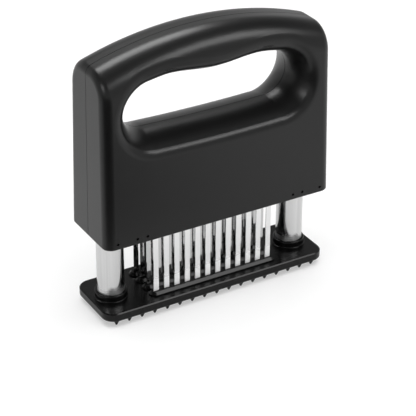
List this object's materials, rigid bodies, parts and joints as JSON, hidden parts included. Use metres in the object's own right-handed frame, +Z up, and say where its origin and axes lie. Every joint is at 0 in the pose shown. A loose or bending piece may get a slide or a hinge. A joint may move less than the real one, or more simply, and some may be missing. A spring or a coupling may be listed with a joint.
{
  "type": "blade meat tenderizer",
  "caption": "Hand-held blade meat tenderizer: a grip housing slides on two sprung steel columns and pushes rows of blades through a toothed base plate.",
  "frame": {"origin": "under the middle of the base plate, on the plane of the tooth tips", "axes": "+X along the tool, +Y from front to rear, +Z up towards the grip bar"},
  "size_m": [0.115, 0.035, 0.13],
  "materials": {
    "housing_plastic": "satin black moulded plastic with a very fine texture",
    "cover_plastic": "matte black moulded plastic",
    "base_plastic": "glossy black moulded plastic",
    "holder_plastic": "matte black moulded plastic",
    "bush_plastic": "natural white slippery plastic",
    "pin_plastic": "black moulded plastic",
    "column_steel": "polished stainless steel tube",
    "blade_steel": "ground stainless steel with bevelled points",
    "rod_steel": "turned stainless steel",
    "spring_steel": "drawn stainless spring wire",
    "screw_steel": "stainless steel screws with a cross slot"
  },
  "bodies": {
    "base": {"base_plate": "base_plastic", "base_screws": "screw_steel", "left_column": "column_steel", "left_column_plug": "holder_plastic", "left_stop_ring": "rod_steel", "left_spring": "spring_steel", "right_column": "column_steel", "right_column_plug": "holder_plastic", "right_stop_ring": "rod_steel", "right_spring": "spring_steel"},
    "housing": {"front_shell": "housing_plastic", "rear_shell": "housing_plastic", "bottom_cover": "cover_plastic", "front_cover_pins": "pin_plastic", "rear_cover_pins": "pin_plastic", "front_holder": "holder_plastic", "second_holder": "holder_plastic", "third_holder": "holder_plastic", "rear_holder": "holder_plastic", "front_blades": "blade_steel", "second_blades": "blade_steel", "third_blades": "blade_steel", "rear_blades": "blade_steel", "left_guide_bush": "bush_plastic", "left_holder_rod": "rod_steel", "left_spring_rod": "bush_plastic", "right_guide_bush": "bush_plastic", "right_holder_rod": "rod_steel", "right_spring_rod": "bush_plastic"}
  },
  "joints": [
    {"name": "press_stroke", "type": "slide", "parent": "base", "child": "housing", "axis": [0, 0, 1], "range_m": [-0.028, 0], "stiffness_N_per_m": 1300, "springref_m": 0.01, "deforming": ["left_spring", "right_spring"]}
  ]
}
